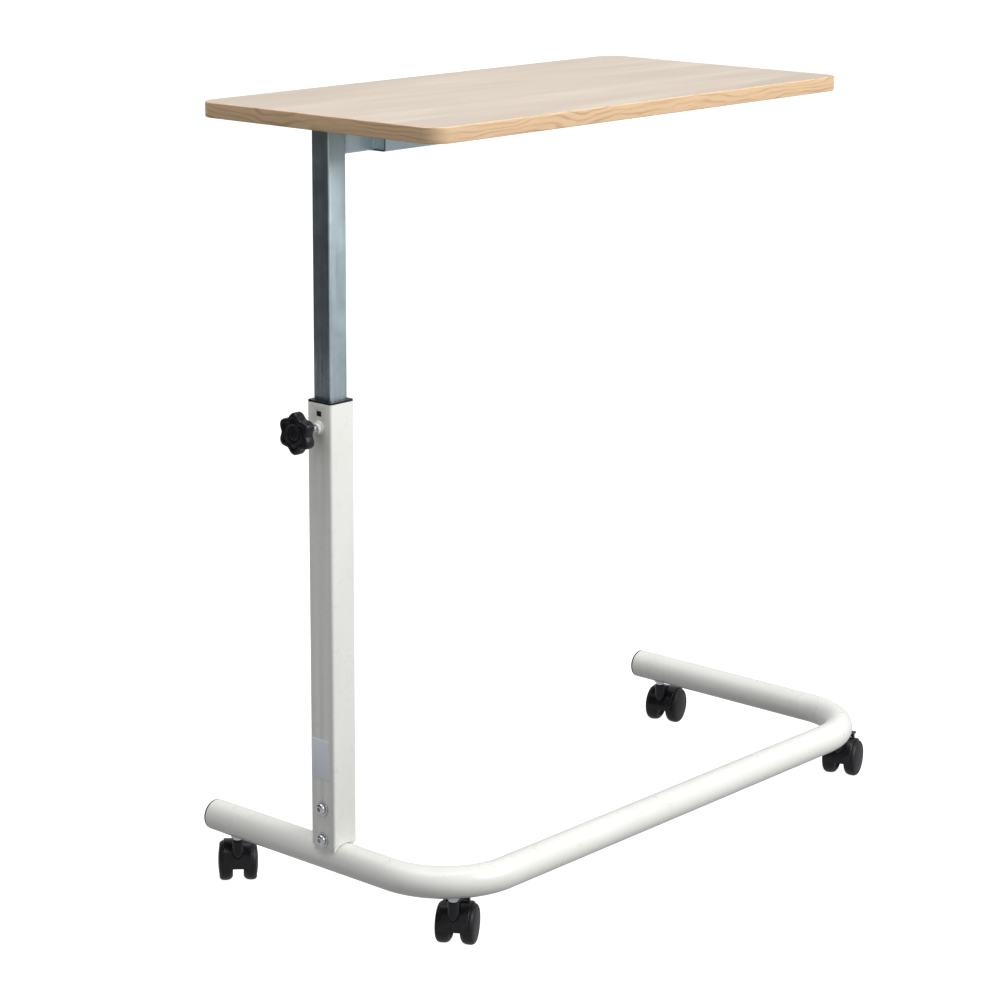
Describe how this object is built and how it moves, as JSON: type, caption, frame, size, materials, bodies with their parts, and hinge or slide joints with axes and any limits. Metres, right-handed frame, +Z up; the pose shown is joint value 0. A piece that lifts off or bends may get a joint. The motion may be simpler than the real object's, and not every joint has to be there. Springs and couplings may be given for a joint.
{
  "type": "overbed table",
  "caption": "Height-adjustable overbed table: wood-grain top on a telescoping square post with a star-knob clamp, U-shaped tube base and twin-wheel castors.",
  "frame": {"origin": "centre of the overall outline, on the floor that the castors stand on", "axes": "+Z up, +X along the top away from the post, -Y the closed end of the U-shaped base"},
  "size_m": [0.9585, 0.4266, 0.9758],
  "materials": {
    "white_powder_coat": "off-white powder coat, semi-gloss with a faint orange peel",
    "zinc_plate": "bluish zinc plate with fine drawing lines",
    "bright_steel": "bright zinc on turned steel",
    "black_plastic": "moulded nylon, satin",
    "knob_plastic": "moulded phenolic, satin",
    "wheel_tread": "moulded nylon wheel, slightly scuffed tread",
    "nylon_guide": "natural nylon",
    "brass_pad": "turned brass",
    "oak_laminate": "pale oak laminate with grain along the length, satin",
    "oak_edge_band": "warmer oak-print plastic edge band",
    "label_film": "plain pale film, no lettering"
  },
  "bodies": {
    "base": {"base_tube": "white_powder_coat", "end_cap_left": "black_plastic", "end_cap_right": "black_plastic", "post_stub": "white_powder_coat", "outer_post": "white_powder_coat", "post_bush": "black_plastic", "post_label": "label_film", "post_bolt_lower": "bright_steel", "post_bolt_upper": "bright_steel", "post_washer_lower": "bright_steel", "post_washer_upper": "bright_steel", "post_nut_lower": "zinc_plate", "post_nut_upper": "zinc_plate", "clamp_boss": "white_powder_coat", "castor_socket_rear_left": "zinc_plate", "castor_stem_rear_left": "bright_steel", "castor_socket_rear_right": "zinc_plate", "castor_stem_rear_right": "bright_steel", "castor_socket_front_left": "zinc_plate", "castor_stem_front_left": "bright_steel", "castor_socket_front_right": "zinc_plate", "castor_stem_front_right": "bright_steel"},
    "mast": {"inner_post": "zinc_plate", "inner_post_foot": "nylon_guide", "support_arm": "zinc_plate", "top_channel": "zinc_plate", "tabletop_board": "oak_laminate", "edge_band": "oak_edge_band", "top_screw_1": "bright_steel", "top_screw_2": "bright_steel", "top_screw_3": "bright_steel", "top_screw_4": "bright_steel", "top_screw_5": "bright_steel", "top_screw_6": "bright_steel"},
    "clamp_pad_body": {"clamp_pad": "brass_pad"},
    "clamp_screw": {"clamp_stud": "bright_steel", "clamp_knob": "knob_plastic"},
    "castor_rear_left": {"castor_hood_rear_left": "black_plastic", "castor_axle_rear_left": "bright_steel"},
    "wheel_rear_left_a": {"castor_wheel_rear_left_a": "wheel_tread"},
    "wheel_rear_left_b": {"castor_wheel_rear_left_b": "wheel_tread"},
    "castor_rear_right": {"castor_hood_rear_right": "black_plastic", "castor_axle_rear_right": "bright_steel"},
    "wheel_rear_right_a": {"castor_wheel_rear_right_a": "wheel_tread"},
    "wheel_rear_right_b": {"castor_wheel_rear_right_b": "wheel_tread"},
    "castor_front_left": {"castor_hood_front_left": "black_plastic", "castor_axle_front_left": "bright_steel"},
    "wheel_front_left_a": {"castor_wheel_front_left_a": "wheel_tread"},
    "wheel_front_left_b": {"castor_wheel_front_left_b": "wheel_tread"},
    "pedal_front_left": {"brake_pedal_front_left": "black_plastic"},
    "castor_front_right": {"castor_hood_front_right": "black_plastic", "castor_axle_front_right": "bright_steel"},
    "wheel_front_right_a": {"castor_wheel_front_right_a": "wheel_tread"},
    "wheel_front_right_b": {"castor_wheel_front_right_b": "wheel_tread"},
    "pedal_front_right": {"brake_pedal_front_right": "black_plastic"}
  },
  "joints": [
    {"name": "mast_height", "type": "slide", "parent": "base", "child": "mast", "axis": [0, 0, 1], "range_m": [-0.275, 0.1]},
    {"name": "clamp_travel", "type": "slide", "parent": "base", "child": "clamp_pad_body", "axis": [-1, 0, 0], "range_m": [0, 0.0025]},
    {"name": "knob_turn", "type": "hinge", "parent": "clamp_pad_body", "child": "clamp_screw", "pos_m": [-0.4653, -0.0048, 0.614], "axis": [-1, 0, 0], "range_deg": [0, 725]},
    {"name": "swivel_rear_left", "type": "hinge", "parent": "base", "child": "castor_rear_left", "pos_m": [-0.4175, 0.1637, 0], "axis": [0, 0, 1], "continuous": true},
    {"name": "roll_rear_left_a", "type": "hinge", "parent": "castor_rear_left", "child": "wheel_rear_left_a", "pos_m": [-0.40118, 0.1806, 0.025], "axis": [-0.7193, 0.6947, 0], "continuous": true},
    {"name": "roll_rear_left_b", "type": "hinge", "parent": "castor_rear_left", "child": "wheel_rear_left_b", "pos_m": [-0.40118, 0.1806, 0.025], "axis": [-0.7193, 0.6947, 0], "continuous": true},
    {"name": "swivel_rear_right", "type": "hinge", "parent": "base", "child": "castor_rear_right", "pos_m": [0.4272, 0.1637, 0], "axis": [0, 0, 1], "continuous": true},
    {"name": "roll_rear_right_a", "type": "hinge", "parent": "castor_rear_right", "child": "wheel_rear_right_a", "pos_m": [0.4499, 0.16978, 0.025], "axis": [-0.2588, 0.9659, 0], "continuous": true},
    {"name": "roll_rear_right_b", "type": "hinge", "parent": "castor_rear_right", "child": "wheel_rear_right_b", "pos_m": [0.4499, 0.16978, 0.025], "axis": [-0.2588, 0.9659, 0], "continuous": true},
    {"name": "swivel_front_left", "type": "hinge", "parent": "base", "child": "castor_front_left", "pos_m": [-0.38597, -0.16952, 0], "axis": [0, 0, 1], "continuous": true},
    {"name": "roll_front_left_a", "type": "hinge", "parent": "castor_front_left", "child": "wheel_front_left_a", "pos_m": [-0.36562, -0.15777, 0.025], "axis": [-0.5, 0.866, 0], "continuous": true},
    {"name": "roll_front_left_b", "type": "hinge", "parent": "castor_front_left", "child": "wheel_front_left_b", "pos_m": [-0.36562, -0.15777, 0.025], "axis": [-0.5, 0.866, 0], "continuous": true},
    {"name": "brake_front_left", "type": "hinge", "parent": "castor_front_left", "child": "pedal_front_left", "pos_m": [-0.36328, -0.15642, 0.056], "axis": [-0.5, 0.866, 0], "range_deg": [0, 16]},
    {"name": "swivel_front_right", "type": "hinge", "parent": "base", "child": "castor_front_right", "pos_m": [0.41173, -0.16107, 0], "axis": [0, 0, 1], "continuous": true},
    {"name": "roll_front_right_a", "type": "hinge", "parent": "castor_front_right", "child": "wheel_front_right_a", "pos_m": [0.43407, -0.1538, 0.025], "axis": [-0.309, 0.9511, 0], "continuous": true},
    {"name": "roll_front_right_b", "type": "hinge", "parent": "castor_front_right", "child": "wheel_front_right_b", "pos_m": [0.43407, -0.1538, 0.025], "axis": [-0.309, 0.9511, 0], "continuous": true},
    {"name": "brake_front_right", "type": "hinge", "parent": "castor_front_right", "child": "pedal_front_right", "pos_m": [0.43664, -0.15297, 0.056], "axis": [-0.309, 0.9511, 0], "range_deg": [0, 16]}
  ],
  "couplings": [
    {"joint": "knob_turn", "follows": "clamp_travel", "rad_per_m": 5026.5}
  ]
}
